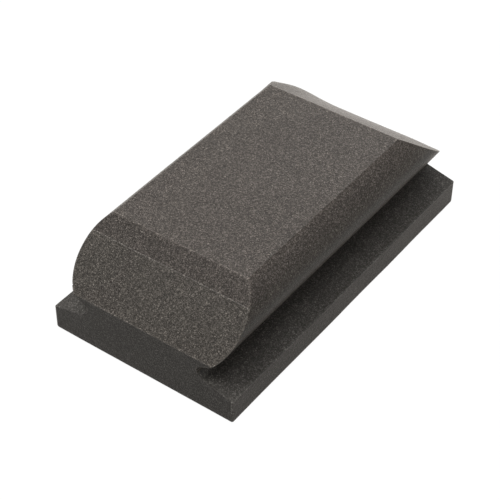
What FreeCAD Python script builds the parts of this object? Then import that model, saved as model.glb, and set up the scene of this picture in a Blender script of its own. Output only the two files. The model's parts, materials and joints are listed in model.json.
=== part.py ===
"""Hand sanding block of laminated closed-cell foam, with a hook facing under its slab.

Millimetres, +Z up. The origin is the centre of the underside, X runs along the block's
length and Y across it. The block is a constant profile along X: a slab, a neck, and a
rounded grip with a flat top. Both ends of the grip are cut off at a slant, and a level
seam divides the foam into a body and a cap.
"""

import FreeCAD, Part
import math
import os

from FreeCAD import Vector

# The whole block
block_length = 130.0
block_width = 70.0
block_height = 40.0

# Facing under the slab, and the adhesive that holds it
facing_thickness = 1.0
facing_adhesive_thickness = 0.1
facing_inset = 2.0

# Slab, with heights above the foam's underside
slab_edge_height = 9.25
slab_top_slope = 13.5
slab_lower_edge_radius = 1.0
slab_corner_radius = 0.6

# Neck between the slab and the grip
neck_half_width = 21.6
neck_lower_fillet = 3.9
neck_upper_fillet = 1.0

# Grip, with heights above the foam's underside
grip_half_width = 31.35
grip_widest_height = 27.7
grip_lower_radius = 10.2
grip_underside_slope = 29.0
grip_top_half_width = 25.3

# Slanted ends of the grip: the front one is flat and the rear one swells a little
slant_start_height = 19.6
front_slant_run = 20.55
rear_slant_run = 25.5
rear_slant_bow = 0.8

# Seam between the two foam layers
seam_height = 33.5
film_thickness = 0.2

# Worked out from the driving dimensions
foam_bottom = facing_thickness + facing_adhesive_thickness
foam_height = block_height - foam_bottom
cutting_margin = 10.0
place_tolerance = 0.01


def round_corner(before, corner, after, radius):
    """The arc of a given radius that rounds the corner between two straight lines."""
    towards_before = (before - corner).normalize()
    towards_after = (after - corner).normalize()
    half_angle = towards_before.getAngle(towards_after) / 2
    bisector = (towards_before + towards_after).normalize()
    tangent_length = radius / math.tan(half_angle)
    centre = corner + bisector * (radius / math.sin(half_angle))
    start = corner + towards_before * tangent_length
    end = corner + towards_after * tangent_length
    return Part.Arc(start, centre - bisector * radius, end)


def half_profile():
    """Edges of the profile's +Y half, from the middle of the underside to the middle of the top."""
    half_width = block_width / 2
    slab_slope = math.tan(math.radians(slab_top_slope))
    underside_slope = math.radians(grip_underside_slope)

    underside_middle = Vector(0, 0, 0)
    slab_low = Vector(0, half_width, 0)
    slab_high = Vector(0, half_width, slab_edge_height)
    neck_foot = Vector(0, neck_half_width, slab_edge_height + (half_width - neck_half_width) * slab_slope)

    lower_centre_y = grip_half_width - grip_lower_radius
    lip = Vector(
        0,
        lower_centre_y + grip_lower_radius * math.sin(underside_slope),
        grip_widest_height - grip_lower_radius * math.cos(underside_slope),
    )
    neck_head = Vector(0, neck_half_width, lip.z - (lip.y - neck_half_width) * math.tan(underside_slope))
    middle_angle = (math.pi / 2 - underside_slope) / 2
    lower_middle = Vector(
        0,
        lower_centre_y + grip_lower_radius * math.cos(middle_angle),
        grip_widest_height - grip_lower_radius * math.sin(middle_angle),
    )
    widest = Vector(0, grip_half_width, grip_widest_height)

    # The upper side is one arc, upright at the widest point and ending at the flat top's edge.
    rise = foam_height - grip_widest_height
    pull_in = grip_half_width - grip_top_half_width
    upper_radius = (rise ** 2 + pull_in ** 2) / (2 * pull_in)
    upper_angle = math.asin(rise / upper_radius)
    upper_centre_y = grip_half_width - upper_radius
    upper_middle = Vector(
        0,
        upper_centre_y + upper_radius * math.cos(upper_angle / 2),
        grip_widest_height + upper_radius * math.sin(upper_angle / 2),
    )
    top_edge = Vector(0, grip_top_half_width, foam_height)
    top_middle = Vector(0, 0, foam_height)

    foot_arc = round_corner(slab_high, neck_foot, neck_head, neck_lower_fillet)
    head_arc = round_corner(neck_foot, neck_head, lip, neck_upper_fillet)
    curves = [
        Part.LineSegment(underside_middle, slab_low),
        Part.LineSegment(slab_low, slab_high),
        Part.LineSegment(slab_high, foot_arc.StartPoint),
        foot_arc,
        Part.LineSegment(foot_arc.EndPoint, head_arc.StartPoint),
        head_arc,
        Part.LineSegment(head_arc.EndPoint, lip),
        Part.Arc(lip, lower_middle, widest),
        Part.Arc(widest, upper_middle, top_edge),
        Part.LineSegment(top_edge, top_middle),
    ]
    return [curve.toShape() for curve in curves]


def slant_cutter(end, run, bow):
    """The waste above one slanted end: end is -1 for the front and +1 for the rear."""
    half_length = block_length / 2
    low = Vector(end * half_length, 0, slant_start_height)
    high = Vector(end * (half_length - run), 0, foam_height)
    outward = Vector(end * (high.z - low.z), 0, run).normalize()
    slant = Part.Arc(low, (low + high) / 2 + outward * bow, high) if bow else Part.LineSegment(low, high)
    lift = Vector(0, 0, cutting_margin)
    away = Vector(end * (half_length + cutting_margin), 0, foam_height + cutting_margin)
    around = Part.makePolygon([high, high + lift, away, Vector(away.x, 0, low.z), low])
    waste = Part.Face(Part.Wire([slant.toShape()] + around.Edges))
    waste.translate(Vector(0, -block_width, 0))
    return waste.extrude(Vector(0, 2 * block_width, 0))


def soften_slab(foam):
    """Rounds the slab's four upright corners and its lower edges, where the die cut it."""
    half_length = block_length / 2
    half_width = block_width / 2
    uprights = []
    for edge in foam.Edges:
        middle = edge.CenterOfMass
        at_end = abs(abs(middle.x) - half_length) < place_tolerance
        at_side = abs(abs(middle.y) - half_width) < place_tolerance
        if at_end and at_side and middle.z < slab_edge_height:
            uprights.append(edge)
    foam = foam.makeFillet(slab_corner_radius, uprights)
    lower = [edge for edge in foam.Edges if edge.BoundBox.ZMax < place_tolerance]
    return foam.makeFillet(slab_lower_edge_radius, lower)


def whole_foam():
    """Slab, neck and grip before the seam divides them, standing on the facing's adhesive."""
    right = half_profile()
    left = [edge.mirror(Vector(0, 0, 0), Vector(0, 1, 0)) for edge in right]
    outline = Part.Wire(Part.__sortEdges__(right + left))
    foam = Part.Face(outline).extrude(Vector(block_length, 0, 0))
    foam.translate(Vector(-block_length / 2, 0, 0))
    front = slant_cutter(-1, front_slant_run, 0)
    rear = slant_cutter(1, rear_slant_run, rear_slant_bow)
    foam = foam.cut([front, rear])
    foam = soften_slab(foam)
    foam.translate(Vector(0, 0, foam_bottom))
    return foam


def foam_between(foam, low, high):
    """The stretch of the foam between two heights above the underside."""
    slice_box = Part.makeBox(2 * block_length, 2 * block_width, high - low)
    slice_box.translate(Vector(-block_length, -block_width, low))
    return foam.common(slice_box)


def sheet_under_slab(low, thickness):
    """A flat sheet inset from the slab's edges, with its corners rounded like the slab's."""
    length = block_length - 2 * facing_inset
    width = block_width - 2 * facing_inset
    sheet = Part.makeBox(length, width, thickness)
    uprights = [edge for edge in sheet.Edges if edge.BoundBox.ZLength > thickness / 2]
    sheet = sheet.makeFillet(slab_corner_radius, uprights)
    sheet.translate(Vector(-length / 2, -width / 2, low))
    return sheet


def make_parts():
    """Every piece of the block by its name."""
    foam = whole_foam()
    seam_low = foam_bottom + seam_height
    seam_high = seam_low + film_thickness
    return {
        "foam_body": foam_between(foam, -cutting_margin, seam_low),
        "lamination_film": foam_between(foam, seam_low, seam_high),
        "foam_cap": foam_between(foam, seam_high, block_height + cutting_margin),
        "facing_adhesive": sheet_under_slab(facing_thickness, facing_adhesive_thickness),
        "hook_facing": sheet_under_slab(0, facing_thickness),
    }


os.makedirs("parts", exist_ok=True)
for name, shape in make_parts().items():
    solid = shape.Solids[0]
    print(name, "solids", len(shape.Solids), "valid", solid.isValid(), "volume", round(solid.Volume, 1))
    solid.exportStep(os.path.join("parts", name + ".step"))
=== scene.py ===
"""Looks of the foam sanding block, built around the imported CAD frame.

The foam is one dense surface grown from the CAD nodes, roughened like cut foam and then
parted at the level seam into body, bond film and cap. The hook facing is a woven backing
with a field of small mushroom hooks. Everything is in metres, in the frame's own axes.
"""

import bmesh
import bpy
import json
import math
import numpy as np
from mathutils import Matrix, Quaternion, Vector, noise
from mathutils.kdtree import KDTree

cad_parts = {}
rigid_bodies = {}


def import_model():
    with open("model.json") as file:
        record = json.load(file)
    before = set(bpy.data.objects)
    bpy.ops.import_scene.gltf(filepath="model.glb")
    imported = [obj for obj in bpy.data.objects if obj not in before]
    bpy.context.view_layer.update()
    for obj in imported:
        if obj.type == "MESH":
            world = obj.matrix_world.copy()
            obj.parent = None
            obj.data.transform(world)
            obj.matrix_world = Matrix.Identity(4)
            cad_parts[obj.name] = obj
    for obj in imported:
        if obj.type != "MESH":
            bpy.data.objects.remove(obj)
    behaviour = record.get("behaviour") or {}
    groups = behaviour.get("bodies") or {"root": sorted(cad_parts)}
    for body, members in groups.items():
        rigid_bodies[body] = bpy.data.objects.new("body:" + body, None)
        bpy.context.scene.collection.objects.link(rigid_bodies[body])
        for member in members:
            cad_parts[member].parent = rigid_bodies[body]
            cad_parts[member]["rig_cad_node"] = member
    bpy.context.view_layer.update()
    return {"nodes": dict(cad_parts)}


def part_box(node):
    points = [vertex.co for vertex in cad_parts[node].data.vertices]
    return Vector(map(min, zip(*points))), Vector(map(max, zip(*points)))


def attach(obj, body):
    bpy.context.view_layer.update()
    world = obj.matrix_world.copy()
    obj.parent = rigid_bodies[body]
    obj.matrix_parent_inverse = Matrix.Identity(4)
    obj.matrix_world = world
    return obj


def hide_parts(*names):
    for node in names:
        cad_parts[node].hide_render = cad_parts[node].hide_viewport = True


MM = 0.001

# Foam surface: the dense skin and how it is drawn onto the CAD's creases
VOXEL = 0.27 * MM
FILM_OVERLAP = 1.5
SMOOTHING_FACTOR = 0.5
SMOOTHING_PASSES = 2
MERGE_REACH = 0.001 * MM
CREASE_ANGLE = math.radians(28)
CREASE_FULL_PULL = 0.8 * VOXEL
CREASE_REACH = 1.4 * VOXEL
CREASE_STEP = 0.05 * MM
SHADING_ANGLE = math.radians(40)

# Painted highlights along some cut edges and on the four upright corners of the slab, where those edges
# catch the light
RIM_REACH = 0.35 * MM
SLAB_EDGE_HEIGHT = 10.35 * MM
CORNER_GAP = 0.3 * MM
# Brightness of the painted highlight on the upright corners
CORNER_HIGHLIGHT = 3.2
LENGTHWISE = 0.9

# Where the foam was cut upright and smooth, and where the grip shelters the slab and neck; both places also
# get painted shade, a darker and cooler colour
UPRIGHT_FROM = 0.72
UPRIGHT_FULL = 0.95
END_FROM = 0.3
END_FULL = 0.6
SHELTER_HEIGHT = 15.0 * MM
SHELTER_SHADE_AND_SMOOTHNESS = 0.9

# Roughness of the cut foam
WAVE_SIZE = 22.0 * MM
WAVE_DEPTH = 0.10 * MM
LUMP_SIZE = 1.0 * MM
LUMP_DEPTH = 0.035 * MM
PIT_SIZE = 0.75 * MM
PIT_DEPTH = 0.045 * MM
PIT_WIDTH_SHARE = 0.45
SMOOTH_CUT_SHARE = 0.35
SMOOTH_RIM_SHARE = 0.3
FACES_DOWN = -0.8
UNDERSIDE_REACH = 0.5 * MM
UNDERSIDE_CLEARANCE = 0.02 * MM

# Where the cut of the rear slanted face wandered: a swelling near its left flank and a worn tip
# at its right flank. Place across the block, width to the right, width to the left, height, and
# shift to the left.
SLANT_FOOT_HEIGHT = 20.7 * MM
WANDER_REACH = 2.5 * MM
WANDERINGS = (
    (25.5 * MM, 7.5 * MM, 4.8 * MM, 1.15 * MM, 0.0),
    (-31.0 * MM, 6.0 * MM, 6.0 * MM, -0.75 * MM, 0.4 * MM),
)

# Lean of the left flank, which the saw left a little steeper than the right one
LEAN_OUT_FRONT = 0.4 * MM
LEAN_OUT_REAR = 0.9 * MM
LEAN_IN = 1.55 * MM
LEAN_STARTS_ASIDE = 5.0 * MM
LEAN_FULL_ASIDE = 25.0 * MM

# Hook facing: a backing sheet and mushroom hooks in staggered rows
BACKING_THICKNESS = 0.35 * MM
BACKING_CORNER_CUT = 0.18 * MM
BACKING_GRID = 0.5 * MM
BACKING_RIPPLE = 0.03 * MM
HOOK_PITCH = 2.0 * MM
HOOK_SIDES = 8
HOOK_EDGE_MARGIN = 1.0 * MM
HOOK_ROOT_DEPTH = 0.05 * MM
HOOK_LEAN = 0.05 * MM
HOOK_SEED = 11
# Outline of one hook from root to tip: radius in millimetres, share of the hook's height
HOOK_OUTLINE = (
    (0.21, 0.0),
    (0.13, 0.2),
    (0.13, 0.55),
    (0.36, 0.64),
    (0.38, 0.76),
    (0.30, 0.93),
    (0.12, 1.0),
)

# Foam colours, as the average of dark cells and pale cell walls
BODY_COLOUR = (0.0320, 0.0287, 0.0250)
CAP_COLOUR = (0.0310, 0.0271, 0.0239)
FILM_COLOUR = (0.033, 0.030, 0.027)
# Painted shade: a darker, cooler colour for the upright faces and for the slab and neck under the grip
PAINTED_SHADE_COLOUR = (0.0285, 0.0270, 0.0248)

# Foam grain: sizes in millimetres, the rest as shares of the foam's brightness
CELL = 0.34
FINE_CELL = 0.22
SPECK_CELL = 0.30
MOTTLE = 9.0
MOTTLE_SHARE = 0.05
UNEVENNESS_SIZE = 0.9
CELL_TAIL = 1.15
FINE_TAIL = 1.4
SPECK_SHARE = 0.04
SPECK_GAIN = 1.5
SMOOTH_CUT_CONTRAST = 0.8
# Painted highlight along the chosen edges, and how much it varies along them
RIM_HIGHLIGHT = 0.5
RIM_HIGHLIGHT_UNEVENNESS = 0.3
SEAM_PALENESS = 0.8
SEAM_FRAYING = 0.5
FINE_CELL_HEIGHT = 0.5

# Foam surface to light: almost no shine from above, a soft bloom at a grazing angle
FOAM_ROUGHNESS = 0.3
FOAM_SPECULAR = 0.03
FOAM_SHEEN = 0.08
FOAM_SHEEN_ROUGHNESS = 0.4
FOAM_BUMP_STRENGTH = 0.5
FOAM_BUMP_DEPTH = 0.10 * MM
WARM_WHITE = (1.0, 0.93, 0.86, 1)

# Moulded nylon hooks: sizes in millimetres
NYLON_COLOUR = (0.022, 0.022, 0.024)
NYLON_SCUFF = 0.15
NYLON_SCUFF_SHARE = 0.2
NYLON_HOOK_SHARE = 0.3
NYLON_GLOSSY = 0.3
NYLON_DULL = 0.5
NYLON_BUMP_STRENGTH = 0.3
NYLON_BUMP_DEPTH = 0.02 * MM

# Woven backing: fibre size in millimetres
BACKING_COLOUR = (0.02, 0.02, 0.022)
THREAD_SCALE = 0.8
THREAD_WOBBLE = 0.6
THREAD_DARK = 0.5
THREAD_BRIGHT = 1.3
FIBRE = 0.08
FIBRE_SHARE = 0.3
BACKING_ROUGHNESS = 0.8
BACKING_SPECULAR = 0.2
BACKING_SHEEN = 0.1
BACKING_BUMP_STRENGTH = 0.6
BACKING_BUMP_DEPTH = 0.05 * MM

# Dried adhesive: sizes in millimetres
ADHESIVE_COLOUR = (0.30, 0.285, 0.235)
CLOUD = 3.0
CLOUD_DARK = 0.8
CLOUD_BRIGHT = 1.15
BUBBLE = 0.8
BUBBLE_RIM = 0.2
BUBBLE_DARK = 0.85
ADHESIVE_GLOSSY = 0.25
ADHESIVE_DULL = 0.45
ADHESIVE_BUMP_STRENGTH = 0.3
ADHESIVE_BUMP_DEPTH = 0.03 * MM

# A noise texture keeps mostly between these two values
NOISE_LOW = 0.3
NOISE_HIGH = 0.7
UNEVENNESS_LOW = 0.35
UNEVENNESS_HIGH = 0.65

# Camera: angles in degrees, distance and aim in metres, lens and sensor in millimetres
CAMERA_AZIMUTH = -54.50
CAMERA_ELEVATION = 41.467
CAMERA_ROLL = 0.681
CAMERA_DISTANCE = 0.4902
CAMERA_AIM = Vector((-0.01093, -0.00206, 0.01513))
CAMERA_LENS = 108.59
CAMERA_SENSOR = 36.0
CAMERA_NEAR = 0.01
CAMERA_FAR = 50.0

# Floor and backdrop: how much of each kind of light they give back or give off
FLOOR_HALF_SIZE = 8.0
FLOOR_BOUNCE = 0.15
FLOOR_GLOW = 1.08
FLOOR_SHADOW_SHARE = 0.08
FLOOR_GLEAM = 0.90
BACKDROP_GLOW = 1.2
AMBIENT = 0.0

# Soft lights, all turned to the block: name, place, size, power and colour
LIGHT_TARGET = Vector((0, 0, 0.02))
WHITE = (1.0, 1.0, 1.0)
LIGHTS = (
    ("top", (0.0, 0.0, 1.2), (1.2, 1.2), 18.8, WHITE),
    ("top_back", (0.8, 0.6, 1.0), (1.0, 1.0), 13.0, WHITE),
    ("top_left", (-0.45, 0.65, 1.0), (0.9, 0.9), 21.0, WHITE),
    ("top_front", (-0.7, 0.0, 1.1), (0.7, 0.7), 8.3, WHITE),
    ("right", (0.4, -1.0, 0.5), (0.8, 0.6), 8.4, (1.0, 0.98, 0.97)),
    ("back", (1.0, 0.2, 0.25), (0.8, 0.4), 4.5, WHITE),
)

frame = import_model()


# ---------------------------------------------------------------- mesh helpers

def link(data, name):
    """A new object for a mesh, light or camera, in the scene."""
    thing = bpy.data.objects.new(name, data)
    bpy.context.scene.collection.objects.link(thing)
    return thing


def apply_modifiers(piece):
    """Replaces a piece's mesh with the result of its modifiers."""
    graph = bpy.context.evaluated_depsgraph_get()
    mesh = bpy.data.meshes.new_from_object(piece.evaluated_get(graph))
    piece.modifiers.clear()
    old = piece.data
    piece.data = mesh
    bpy.data.meshes.remove(old)


def shade_smooth(mesh):
    """Smooth shading that still breaks at creases."""
    mesh.polygons.foreach_set("use_smooth", np.ones(len(mesh.polygons), bool))
    mesh.set_sharp_from_angle(angle=SHADING_ANGLE)
    mesh.update()


def read_vectors(mesh, source):
    """The places ("co") or the normals ("normal") of a mesh's vertices, one row each."""
    values = np.zeros(len(mesh.vertices) * 3, np.float32)
    mesh.vertices.foreach_get(source, values)
    return values.reshape(-1, 3).astype(float)


def write_places(mesh, places):
    """Moves a mesh's vertices to new places."""
    mesh.vertices.foreach_set("co", places.astype(np.float32).ravel())
    mesh.update()


def smooth_step(value, low, high):
    """0 below low, 1 above high, and an even curve between."""
    share = np.clip((value - low) / (high - low), 0, 1)
    return share * share * (3 - 2 * share)


def store_attribute(mesh, name, values):
    """One number for each vertex, which materials can read by name."""
    attribute = mesh.attributes.new(name, "FLOAT", "POINT")
    attribute.data.foreach_set("value", values.astype(np.float32))


# ---------------------------------------------------------------- foam

def foam_blank():
    """The three foam layers merged into one closed surface of even, dense quads."""
    merged = bmesh.new()
    for node in ("foam_body", "foam_cap", "lamination_film"):
        already = len(merged.verts)
        merged.from_mesh(frame["nodes"][node].data)
        merged.verts.ensure_lookup_table()
        if node == "lamination_film":
            low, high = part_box(node)
            middle = (low.z + high.z) / 2
            for vertex in merged.verts[already:]:
                vertex.co.z = middle + (vertex.co.z - middle) * FILM_OVERLAP
    bmesh.ops.remove_doubles(merged, verts=merged.verts, dist=MERGE_REACH)
    mesh = bpy.data.meshes.new("foam_blank")
    merged.to_mesh(mesh)
    merged.free()
    piece = link(mesh, "foam_blank")
    remesh = piece.modifiers.new("even_quads", "REMESH")
    remesh.mode = "VOXEL"
    remesh.voxel_size = VOXEL
    soften = piece.modifiers.new("even_out_steps", "SMOOTH")
    soften.factor = SMOOTHING_FACTOR
    soften.iterations = SMOOTHING_PASSES
    apply_modifiers(piece)
    snap_to_creases(piece.data)
    return piece


def crease_edges():
    """Start and end of every sharp edge of the foam, except where the seam parts its layers."""
    seam_low, seam_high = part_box("lamination_film")
    for node in ("foam_body", "foam_cap"):
        layer = bmesh.new()
        layer.from_mesh(frame["nodes"][node].data)
        bmesh.ops.remove_doubles(layer, verts=layer.verts, dist=MERGE_REACH)
        for edge in layer.edges:
            start, end = (vertex.co.copy() for vertex in edge.verts)
            at_seam = seam_low.z - MERGE_REACH < (start.z + end.z) / 2 < seam_high.z + MERGE_REACH
            if not at_seam and edge.is_manifold and edge.calc_face_angle() > CREASE_ANGLE:
                yield start, end
        layer.free()


def corner_edges():
    """The four rounded upright corners of the slab."""
    low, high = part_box("foam_body")
    for x in (low.x, high.x):
        for y in (low.y, high.y):
            yield Vector((x, y, low.z)), Vector((x, y, SLAB_EDGE_HEIGHT))


def gets_rim_highlight(start, end):
    """The slab's long edges and the grip's end outlines get a painted highlight along their rim; the other
    cuts get none.
    """
    runs_lengthwise = abs((end - start).normalized().x) > LENGTHWISE
    return runs_lengthwise == (start.z < SHELTER_HEIGHT)


def tree_along(edges):
    """A search tree of closely spaced points along edges."""
    points = []
    for start, end in edges:
        steps = max(1, round((end - start).length / CREASE_STEP))
        points.extend(start.lerp(end, step / steps) for step in range(steps + 1))
    tree = KDTree(len(points))
    for index, point in enumerate(points):
        tree.insert(point, index)
    tree.balance()
    return tree


def snap_to_creases(mesh):
    """Moves vertices next to a crease onto it, so that cut edges stay crisp, and stores where the painted
    highlight goes along rims and upright corners.
    """
    edges = list(crease_edges())
    creases = tree_along(edges)
    highlighted_edges = tree_along(edge for edge in edges if gets_rim_highlight(*edge))
    corners = tree_along(corner_edges())
    painted_highlight = np.zeros(len(mesh.vertices))
    for index, vertex in enumerate(mesh.vertices):
        nearest, _, distance = creases.find(vertex.co)
        if distance < CREASE_REACH:
            pull = 1 - smooth_step(distance, CREASE_FULL_PULL, CREASE_REACH)
            vertex.co = vertex.co.lerp(nearest, pull)
        # Painted highlight: a pale band along the chosen edges, stronger on the upright corners
        rim_distance = highlighted_edges.find(vertex.co)[2]
        corner_distance = max(0.0, corners.find(vertex.co)[2] - CORNER_GAP)
        rim = math.exp(-((rim_distance / RIM_REACH) ** 2))
        corner = math.exp(-((corner_distance / RIM_REACH) ** 2))
        painted_highlight[index] = max(rim, CORNER_HIGHLIGHT * corner)
    store_attribute(mesh, "edge_highlight", painted_highlight)
    mesh.update()


def smooth_cut_and_shade(mesh):
    """1 where the die cut the foam upright and left it smooth, a set share under the grip, 0 on the sawn top
    and slants. The same share smooths the grain and paints shade: a darker, cooler colour.
    """
    normals = read_vectors(mesh, "normal")
    heights = read_vectors(mesh, "co")[:, 2]
    upright = smooth_step(1 - np.abs(normals[:, 2]), UPRIGHT_FROM, UPRIGHT_FULL)
    return np.maximum(upright, np.where(heights < SHELTER_HEIGHT, SHELTER_SHADE_AND_SMOOTHNESS, 0))


def end_cut(mesh):
    """1 on the slanted and upright ends, 0 on the long sides."""
    normals = read_vectors(mesh, "normal")
    return smooth_step(np.abs(normals[:, 0]), END_FROM, END_FULL)


def wander_rear(mesh):
    """Swells the rear slanted face or wears it down, smoothly, where its cut wandered."""
    places = read_vectors(mesh, "co")
    body_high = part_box("foam_body")[1]
    cap_low, cap_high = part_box("foam_cap")
    foot = np.array((body_high.x, 0, SLANT_FOOT_HEIGHT))
    slope = np.array((cap_high.x, 0, cap_low.z)) - foot
    outward = np.array((slope[2], 0, -slope[0])) / np.linalg.norm(slope)
    depth = (foot - places) @ outward
    climb = np.clip((places[:, 2] - foot[2]) / (cap_high.z - foot[2]), 0, 1)
    moved = places.copy()
    for middle, right_width, left_width, height, slide in WANDERINGS:
        aside = places[:, 1] - middle
        aside /= np.where(aside > 0, left_width, right_width)
        share = 4 * climb * (1 - climb) * np.exp(-(aside**2) - (depth / WANDER_REACH) ** 2)
        moved += share[:, None] * (height * outward + np.array((0, slide, 0)))
    write_places(mesh, moved)


def lean_left_flank(mesh):
    """Leans the left flank: outwards at the top, more so at the rear, and inwards at its foot."""
    places = read_vectors(mesh, "co")
    body_low, body_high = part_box("foam_body")
    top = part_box("foam_cap")[1].z
    rearward = (places[:, 0] - body_low.x) / (body_high.x - body_low.x)
    down = (top - places[:, 2]) / (top - SLANT_FOOT_HEIGHT)
    aside = smooth_step(places[:, 1], LEAN_STARTS_ASIDE, LEAN_FULL_ASIDE)
    share = aside * smooth_step(places[:, 2], SHELTER_HEIGHT, SLANT_FOOT_HEIGHT)
    lean_out = LEAN_OUT_FRONT + (LEAN_OUT_REAR - LEAN_OUT_FRONT) * rearward
    places[:, 1] += share * (lean_out - LEAN_IN * down)
    write_places(mesh, places)


def roughen(mesh, smooth_and_shade):
    """Moves the surface along its normals: slow waves from the cut, cell lumps and open pits.

    The underside only moves inwards, so that it stays clear of the adhesive.
    """
    rim = np.zeros(len(mesh.vertices), np.float32)
    mesh.attributes["edge_highlight"].data.foreach_get("value", rim)
    places = read_vectors(mesh, "co")
    normals = read_vectors(mesh, "normal")
    waves = np.empty(len(places))
    grain = np.empty(len(places))
    for index, place in enumerate(places):
        point = Vector(place)
        nearest = noise.voronoi(point / PIT_SIZE)[0][0]
        pit = max(0.0, PIT_WIDTH_SHARE - nearest) / PIT_WIDTH_SHARE
        waves[index] = WAVE_DEPTH * noise.noise(point / WAVE_SIZE)
        grain[index] = LUMP_DEPTH * noise.noise(point / LUMP_SIZE) - PIT_DEPTH * pit
    grain *= 1 - (1 - SMOOTH_CUT_SHARE) * smooth_and_shade
    grain *= 1 - (1 - SMOOTH_RIM_SHARE) * np.minimum(rim, 1)
    offsets = waves + grain
    low_down = places[:, 2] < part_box("foam_body")[0].z + UNDERSIDE_REACH
    underside = (normals[:, 2] < FACES_DOWN) & low_down
    offsets[underside] = np.minimum(offsets[underside], 0) - UNDERSIDE_CLEARANCE
    moved = places + normals * offsets[:, None]
    write_places(mesh, moved)


def part_between(source, name, low, high):
    """A closed copy of the stretch of a mesh between two heights; None leaves that side as it is."""
    layer = bmesh.new()
    layer.from_mesh(source)
    for height, direction in ((low, -1), (high, 1)):
        if height is None:
            continue
        cut = bmesh.ops.bisect_plane(
            layer,
            geom=layer.verts[:] + layer.edges[:] + layer.faces[:],
            plane_co=(0, 0, height),
            plane_no=(0, 0, direction),
            clear_outer=True,
        )
        rim = [item for item in cut["geom_cut"] if isinstance(item, bmesh.types.BMEdge)]
        bmesh.ops.holes_fill(layer, edges=rim, sides=0)
    mesh = bpy.data.meshes.new(name)
    layer.to_mesh(mesh)
    layer.free()
    shade_smooth(mesh)
    return link(mesh, name)


def build_foam():
    """The foam's three layers, cut from one blank so that their outlines run on."""
    blank = foam_blank()
    smooth_and_shade = smooth_cut_and_shade(blank.data)
    store_attribute(blank.data, "smooth_cut_and_shade", smooth_and_shade)
    store_attribute(blank.data, "end_cut", end_cut(blank.data))
    wander_rear(blank.data)
    lean_left_flank(blank.data)
    roughen(blank.data, smooth_and_shade)
    seam_low, seam_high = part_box("lamination_film")
    layers = {
        "foam_body": part_between(blank.data, "foam_body_cut", None, seam_low.z),
        "lamination_film": part_between(blank.data, "lamination_film_strip", seam_low.z, seam_high.z),
        "foam_cap": part_between(blank.data, "foam_cap_cut", seam_high.z, None),
    }
    bpy.data.objects.remove(blank)
    for node, piece in layers.items():
        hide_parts(node)
        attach(piece, "root")
    return layers


# ---------------------------------------------------------------- hook facing

def build_backing():
    """The woven sheet that carries the hooks: faintly rippled below, its lower edge cut back."""
    low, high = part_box("hook_facing")
    size = high - low
    columns = round(size.x / BACKING_GRID)
    rows = round(size.y / BACKING_GRID)
    sheet = bmesh.new()
    bmesh.ops.create_grid(sheet, x_segments=columns, y_segments=rows, size=0.5)
    for vertex in sheet.verts:
        x = (low.x + high.x) / 2 + vertex.co.x * size.x
        y = (low.y + high.y) / 2 + vertex.co.y * size.y
        vertex.co = (x, y, high.z)
    below = bmesh.ops.extrude_face_region(sheet, geom=sheet.faces[:])
    for vertex in below["geom"]:
        if not isinstance(vertex, bmesh.types.BMVert):
            continue
        x, y, _ = vertex.co
        at_rim = min(x - low.x, high.x - x, y - low.y, high.y - y) < BACKING_GRID / 2
        ripple = BACKING_RIPPLE * noise.noise(vertex.co / (HOOK_PITCH / 2))
        vertex.co.z = high.z - BACKING_THICKNESS + (BACKING_CORNER_CUT if at_rim else ripple)
    bmesh.ops.recalc_face_normals(sheet, faces=sheet.faces)
    mesh = bpy.data.meshes.new("hook_backing")
    sheet.to_mesh(mesh)
    sheet.free()
    shade_smooth(mesh)
    return link(mesh, "hook_backing")


def hook_places():
    """Where the hooks stand: staggered rows across the sheet."""
    low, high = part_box("hook_facing")
    row_pitch = HOOK_PITCH * math.sqrt(3) / 2
    rows = int((high.y - low.y - 2 * HOOK_EDGE_MARGIN) / row_pitch) + 1
    columns = int((high.x - low.x - 2 * HOOK_EDGE_MARGIN - HOOK_PITCH / 2) / HOOK_PITCH) + 1
    row, column = np.mgrid[0:rows, 0:columns]
    x = (column + 0.5 * (row % 2)) * HOOK_PITCH
    y = row * row_pitch
    x += (low.x + high.x - x.min() - x.max()) / 2
    y += (low.y + high.y - y.min() - y.max()) / 2
    return np.stack((x, y), axis=-1).reshape(-1, 2)


def build_hooks():
    """Every hook is a turned stem with a mushroom head, leaning a little its own way."""
    low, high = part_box("hook_facing")
    root = high.z - BACKING_THICKNESS + HOOK_ROOT_DEPTH
    places = hook_places()
    lean = np.random.default_rng(HOOK_SEED).normal(0, HOOK_LEAN, places.shape)
    turn = np.arange(HOOK_SIDES) * 2 * math.pi / HOOK_SIDES
    around = np.stack((np.cos(turn), np.sin(turn)), axis=-1)
    rings = []
    for radius, share in HOOK_OUTLINE:
        flat = (places + lean * share)[:, None] + around * radius * MM
        height = np.full(flat.shape[:2] + (1,), root + (low.z - root) * share)
        rings.append(np.concatenate((flat, height), axis=2))
    vertices = np.stack(rings, axis=1).reshape(-1, 3)

    faces = []
    ring_count = len(HOOK_OUTLINE)
    for hook in range(len(places)):
        first = hook * ring_count * HOOK_SIDES
        for start in range(first, first + (ring_count - 1) * HOOK_SIDES, HOOK_SIDES):
            for side in range(HOOK_SIDES):
                after = (side + 1) % HOOK_SIDES
                upper = start + HOOK_SIDES
                faces.append((start + side, upper + side, upper + after, start + after))
        last = first + (ring_count - 1) * HOOK_SIDES
        faces.append(tuple(range(first, first + HOOK_SIDES)))
        faces.append(tuple(reversed(range(last, last + HOOK_SIDES))))
    mesh = bpy.data.meshes.new("hook_field")
    mesh.from_pydata(vertices.tolist(), [], faces)
    shade_smooth(mesh)
    return link(mesh, "hook_field")


def build_facing():
    """Backing sheet and hooks, which together stand for the hook facing."""
    facing = {"backing": build_backing(), "hooks": build_hooks()}
    for piece in facing.values():
        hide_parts("hook_facing")
        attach(piece, "root")
    return facing


# ---------------------------------------------------------------- materials

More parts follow.
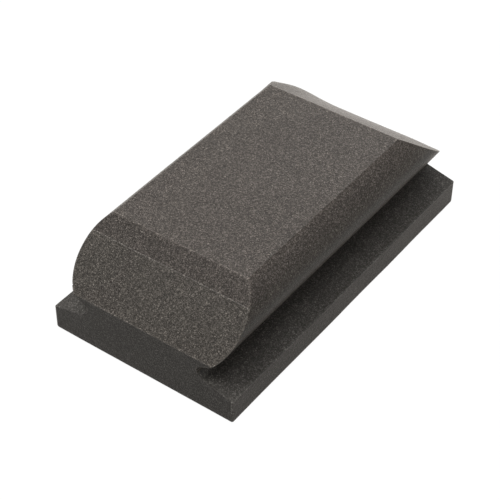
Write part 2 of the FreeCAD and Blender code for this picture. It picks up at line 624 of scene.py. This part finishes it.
class Nodes:
    """A small helper that writes a node tree in few words."""

    def __init__(self, tree):
        self.tree = tree
        tree.nodes.clear()

    def add(self, kind, inputs=None, **settings):
        node = self.tree.nodes.new(kind)
        for name, value in settings.items():
            setattr(node, name, value)
        for name, value in (inputs or {}).items():
            self.feed(node.inputs[name], value)
        return node

    def feed(self, socket, value):
        """Links a socket to another node's output, or sets its value."""
        if isinstance(value, bpy.types.NodeSocket):
            self.tree.links.new(value, socket)
        else:
            socket.default_value = value

    def math(self, operation, first, second):
        return self.add("ShaderNodeMath", {0: first, 1: second}, operation=operation).outputs[0]

    def times(self, first, second):
        return self.math("MULTIPLY", first, second)

    def plus(self, first, second):
        return self.math("ADD", first, second)

    def remap(self, value, low, high, to_low, to_high):
        ends = {"From Min": low, "From Max": high, "To Min": to_low, "To Max": to_high}
        return self.add("ShaderNodeMapRange", {"Value": value, **ends}).outputs[0]

    def vary(self, noise_value, to_low, to_high):
        """Stretches a noise over a range."""
        return self.remap(noise_value, NOISE_LOW, NOISE_HIGH, to_low, to_high)

    def blend(self, share, first, second):
        """The first colour where the share is 0, the second where it is 1."""
        colours = {0: share, 6: (*first, 1), 7: (*second, 1)}
        return self.add("ShaderNodeMix", colours, data_type="RGBA").outputs[2]

    def scale(self, vector, factor):
        """A colour or a place, times a number."""
        inputs = {0: vector, "Scale": factor}
        return self.add("ShaderNodeVectorMath", inputs, operation="SCALE").outputs[0]

    def millimetres(self):
        """The place on the piece, in millimetres."""
        return self.scale(self.add("ShaderNodeTexCoord").outputs["Object"], 1 / MM)

    def noise(self, place, size, detail):
        inputs = {"Vector": place, "Scale": 1 / size, "Detail": detail}
        return self.add("ShaderNodeTexNoise", inputs).outputs["Fac"]

    def cells(self, place, size):
        """A cell pattern: a random shade per cell and the distance to the cell's middle."""
        node = self.add("ShaderNodeTexVoronoi", {"Vector": place, "Scale": 1 / size})
        shade = self.add("ShaderNodeSeparateColor", {"Color": node.outputs["Color"]})
        return shade.outputs["Red"], node.outputs["Distance"]

    def bright_tail(self, shade, gain):
        """Turns even random shades into mostly dark ones with a few bright, averaging 1."""
        cubed = self.math("POWER", shade, 3.0)
        average_of_cubed = 1 / 4
        return self.plus(self.times(cubed, gain), 1 - gain * average_of_cubed)

    def attribute(self, name):
        return self.add("ShaderNodeAttribute", attribute_name=name).outputs["Fac"]

    def bump(self, height, strength, depth):
        inputs = {"Height": height, "Strength": strength, "Distance": depth}
        return self.add("ShaderNodeBump", inputs).outputs[0]

    def finish(self, inputs):
        """Ends the material in one principled surface."""
        surface = self.add("ShaderNodeBsdfPrincipled", inputs)
        self.add("ShaderNodeOutputMaterial", {"Surface": surface.outputs[0]})


def new_material(name):
    """An empty material and the helper that fills it."""
    material = bpy.data.materials.new(name)
    material.use_nodes = True
    return material, Nodes(material.node_tree)


def foam_grain(nodes, place, roughness_share):
    """Brightness of the cut cells, averaging about 1, and the depth of the cells for the bump."""
    cell_shade, cell_depth = nodes.cells(place, CELL)
    fine_shade, fine_depth = nodes.cells(place, FINE_CELL)
    speck_shade, _ = nodes.cells(place, SPECK_CELL)
    coarse = nodes.bright_tail(cell_shade, CELL_TAIL)
    fine = nodes.bright_tail(fine_shade, FINE_TAIL)
    specks = nodes.remap(speck_shade, 1 - SPECK_SHARE, 1, 0, SPECK_GAIN)
    grain = nodes.plus(nodes.times(coarse, fine), specks)
    grain = nodes.times(nodes.math("SUBTRACT", grain, 1.0), roughness_share)
    height = nodes.plus(cell_depth, nodes.times(fine_depth, FINE_CELL_HEIGHT))
    return nodes.plus(grain, 1.0), nodes.times(height, roughness_share)


def rim_highlight_and_pale_seam(nodes, place, seam):
    """How much paler than its surroundings the foam is: a painted highlight along the rims and corners, and
    a pale line along the cut seam.
    """
    unevenness = nodes.noise(place, UNEVENNESS_SIZE, 1.0)
    rim_low, rim_high = RIM_HIGHLIGHT * (1 - RIM_HIGHLIGHT_UNEVENNESS), RIM_HIGHLIGHT * (1 + RIM_HIGHLIGHT_UNEVENNESS)
    seam_low, seam_high = seam * (1 - SEAM_FRAYING), seam * (1 + SEAM_FRAYING)
    rim_share = nodes.remap(unevenness, UNEVENNESS_LOW, UNEVENNESS_HIGH, rim_low, rim_high)
    seam_share = nodes.remap(unevenness, UNEVENNESS_LOW, UNEVENNESS_HIGH, seam_low, seam_high)
    # Painted highlight along the rims and corners
    rim_highlight = nodes.times(nodes.attribute("edge_highlight"), rim_share)
    cut_seam = nodes.times(nodes.attribute("end_cut"), seam_share)
    return nodes.plus(rim_highlight, nodes.plus(cut_seam, 1.0))


def foam_material(name, colour, seam=0.0):
    """Charcoal closed-cell foam: cut cells with pale walls, mottling, painted highlights on rims and
    corners, painted shade on upright faces and under the grip, and a pale cut seam.
    """
    material, nodes = new_material(name)
    place = nodes.millimetres()
    smooth_and_shade = nodes.attribute("smooth_cut_and_shade")
    # Flatter grain on upright faces and under the grip: partly the smoother die cut, partly painted shade
    roughness_share = nodes.remap(smooth_and_shade, 0, 1, 1.0, SMOOTH_CUT_CONTRAST)
    grain, height = foam_grain(nodes, place, roughness_share)
    mottle = nodes.vary(nodes.noise(place, MOTTLE, 3.0), 1 - MOTTLE_SHARE, 1 + MOTTLE_SHARE)
    brightness = nodes.times(nodes.times(grain, mottle), rim_highlight_and_pale_seam(nodes, place, seam))
    nodes.finish({
        # Painted shade: darker, cooler colour on upright faces and under the grip
        "Base Color": nodes.scale(nodes.blend(smooth_and_shade, colour, PAINTED_SHADE_COLOUR), brightness),
        "Roughness": FOAM_ROUGHNESS,
        "Specular IOR Level": FOAM_SPECULAR,
        "Sheen Weight": FOAM_SHEEN,
        "Sheen Roughness": FOAM_SHEEN_ROUGHNESS,
        "Sheen Tint": WARM_WHITE,
        "Normal": nodes.bump(height, FOAM_BUMP_STRENGTH, FOAM_BUMP_DEPTH),
    })
    return material


def nylon_material():
    """Black moulded hooks: slightly glossy, with a shade that differs from hook to hook."""
    material, nodes = new_material("hook_nylon")
    place = nodes.millimetres()
    hook_shade, _ = nodes.cells(place, HOOK_PITCH / MM)
    hook_share = nodes.remap(hook_shade, 0, 1, 1 - NYLON_HOOK_SHARE, 1 + NYLON_HOOK_SHARE)
    scuffs = nodes.noise(place, NYLON_SCUFF, 2.0)
    scuff_share = nodes.vary(scuffs, 1 - NYLON_SCUFF_SHARE, 1 + NYLON_SCUFF_SHARE)
    nodes.finish({
        "Base Color": nodes.scale(NYLON_COLOUR, nodes.times(hook_share, scuff_share)),
        "Roughness": nodes.vary(scuffs, NYLON_GLOSSY, NYLON_DULL),
        "Normal": nodes.bump(scuffs, NYLON_BUMP_STRENGTH, NYLON_BUMP_DEPTH),
    })
    return material


def backing_material():
    """Woven black backing: two crossing sets of threads with a soft sheen."""
    material, nodes = new_material("woven_backing")
    place = nodes.millimetres()
    wave = {"Vector": place, "Scale": THREAD_SCALE, "Distortion": THREAD_WOBBLE}
    lengthwise = nodes.add("ShaderNodeTexWave", wave, bands_direction="X").outputs["Fac"]
    crosswise = nodes.add("ShaderNodeTexWave", wave, bands_direction="Y").outputs["Fac"]
    weave = nodes.math("MAXIMUM", lengthwise, crosswise)
    thread_share = nodes.remap(weave, 0, 1, THREAD_DARK, THREAD_BRIGHT)
    fibre_share = nodes.vary(nodes.noise(place, FIBRE, 2.0), 1 - FIBRE_SHARE, 1 + FIBRE_SHARE)
    nodes.finish({
        "Base Color": nodes.scale(BACKING_COLOUR, nodes.times(thread_share, fibre_share)),
        "Roughness": BACKING_ROUGHNESS,
        "Specular IOR Level": BACKING_SPECULAR,
        "Sheen Weight": BACKING_SHEEN,
        "Normal": nodes.bump(weave, BACKING_BUMP_STRENGTH, BACKING_BUMP_DEPTH),
    })
    return material


def adhesive_material():
    """A thin straw-coloured film of dried adhesive, cloudy in places and slightly shiny."""
    material, nodes = new_material("adhesive_film")
    place = nodes.millimetres()
    cloud = nodes.noise(place, CLOUD, 3.0)
    _, bubbles = nodes.cells(place, BUBBLE)
    cloud_share = nodes.vary(cloud, CLOUD_DARK, CLOUD_BRIGHT)
    bubble_share = nodes.remap(bubbles, 0, BUBBLE_RIM, BUBBLE_DARK, 1.0)
    nodes.finish({
        "Base Color": nodes.scale(ADHESIVE_COLOUR, nodes.times(cloud_share, bubble_share)),
        "Roughness": nodes.vary(cloud, ADHESIVE_GLOSSY, ADHESIVE_DULL),
        "Normal": nodes.bump(bubbles, ADHESIVE_BUMP_STRENGTH, ADHESIVE_BUMP_DEPTH),
    })
    return material


def give(piece, material):
    """Puts a material on a piece."""
    piece.data.materials.clear()
    piece.data.materials.append(material)
    "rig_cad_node" not in piece


# ---------------------------------------------------------------- studio

def floor_material():
    """A white sweep: almost shadowless to the camera, dim as a reflector, bright in grazing reflections."""
    material, nodes = new_material("pale_floor")
    ray = nodes.add("ShaderNodeLightPath").outputs
    matte = nodes.add("ShaderNodeBsdfDiffuse", {"Color": (FLOOR_BOUNCE, FLOOR_BOUNCE, FLOOR_BOUNCE, 1)})
    white = nodes.add("ShaderNodeEmission", {"Color": (*WHITE, 1), "Strength": FLOOR_GLOW})
    seen = nodes.times(ray["Is Camera Ray"], 1 - FLOOR_SHADOW_SHARE)
    surface = nodes.add("ShaderNodeMixShader", {0: seen, 1: matte.outputs[0], 2: white.outputs[0]})
    gleam = nodes.times(ray["Is Glossy Ray"], FLOOR_GLEAM)
    warm = nodes.add("ShaderNodeEmission", {"Color": WARM_WHITE, "Strength": gleam})
    whole = nodes.add("ShaderNodeAddShader", {0: surface.outputs[0], 1: warm.outputs[0]})
    nodes.add("ShaderNodeOutputMaterial", {"Surface": whole.outputs[0]})
    return material


def floor():
    mesh = bpy.data.meshes.new("floor")
    half = FLOOR_HALF_SIZE
    corners = [(-half, -half, 0), (half, -half, 0), (half, half, 0), (-half, half, 0)]
    mesh.from_pydata(corners, [], [(0, 1, 2, 3)])
    mesh.materials.append(floor_material())
    link(mesh, "floor")


def soft_light(name, place, size, power, colour):
    """A rectangular light turned to the block and hidden from the camera."""
    data = bpy.data.lights.new(name, "AREA")
    data.shape = "RECTANGLE"
    data.size, data.size_y = size
    data.energy = power
    data.color = colour
    light = link(data, name)
    light.location = place
    light.rotation_mode = "QUATERNION"
    light.rotation_quaternion = (LIGHT_TARGET - Vector(place)).to_track_quat("-Z", "Y")
    light.visible_camera = False


def world():
    """White to the camera, and no light from it on the block beyond the ambient share."""
    scene_world = bpy.data.worlds.new("studio")
    bpy.context.scene.world = scene_world
    scene_world.use_nodes = True
    nodes = Nodes(scene_world.node_tree)
    seen = nodes.add("ShaderNodeLightPath").outputs["Is Camera Ray"]
    backdrop = nodes.add("ShaderNodeBackground", {"Color": (*WHITE, 1), "Strength": BACKDROP_GLOW})
    ambient = nodes.add("ShaderNodeBackground", {"Color": (*WHITE, 1), "Strength": AMBIENT})
    mixed = nodes.add("ShaderNodeMixShader", {0: seen, 1: ambient.outputs[0], 2: backdrop.outputs[0]})
    nodes.add("ShaderNodeOutputWorld", {"Surface": mixed.outputs[0]})


def camera():
    azimuth = math.radians(CAMERA_AZIMUTH)
    elevation = math.radians(CAMERA_ELEVATION)
    back = Vector((
        math.sin(azimuth) * math.cos(elevation),
        -math.cos(azimuth) * math.cos(elevation),
        math.sin(elevation),
    ))
    data = bpy.data.cameras.new("camera")
    data.lens = CAMERA_LENS
    data.sensor_width = CAMERA_SENSOR
    data.clip_start = CAMERA_NEAR
    data.clip_end = CAMERA_FAR
    viewer = link(data, "camera")
    viewer.location = CAMERA_AIM + back * CAMERA_DISTANCE
    viewer.rotation_mode = "QUATERNION"
    roll = Quaternion(back, math.radians(CAMERA_ROLL))
    viewer.rotation_quaternion = roll @ (-back).to_track_quat("-Z", "Y")
    bpy.context.scene.camera = viewer


layers = build_foam()
give(layers["foam_body"], foam_material("charcoal_foam", BODY_COLOUR))
give(layers["foam_cap"], foam_material("charcoal_foam_cap", CAP_COLOUR))
give(layers["lamination_film"], foam_material("bond_film", FILM_COLOUR, SEAM_PALENESS))
facing = build_facing()
give(facing["backing"], backing_material())
give(facing["hooks"], nylon_material())
give(frame["nodes"]["facing_adhesive"], adhesive_material())

floor()
world()
for light in LIGHTS:
    soft_light(*light)
camera()
bpy.context.scene.view_settings.view_transform = "Standard"
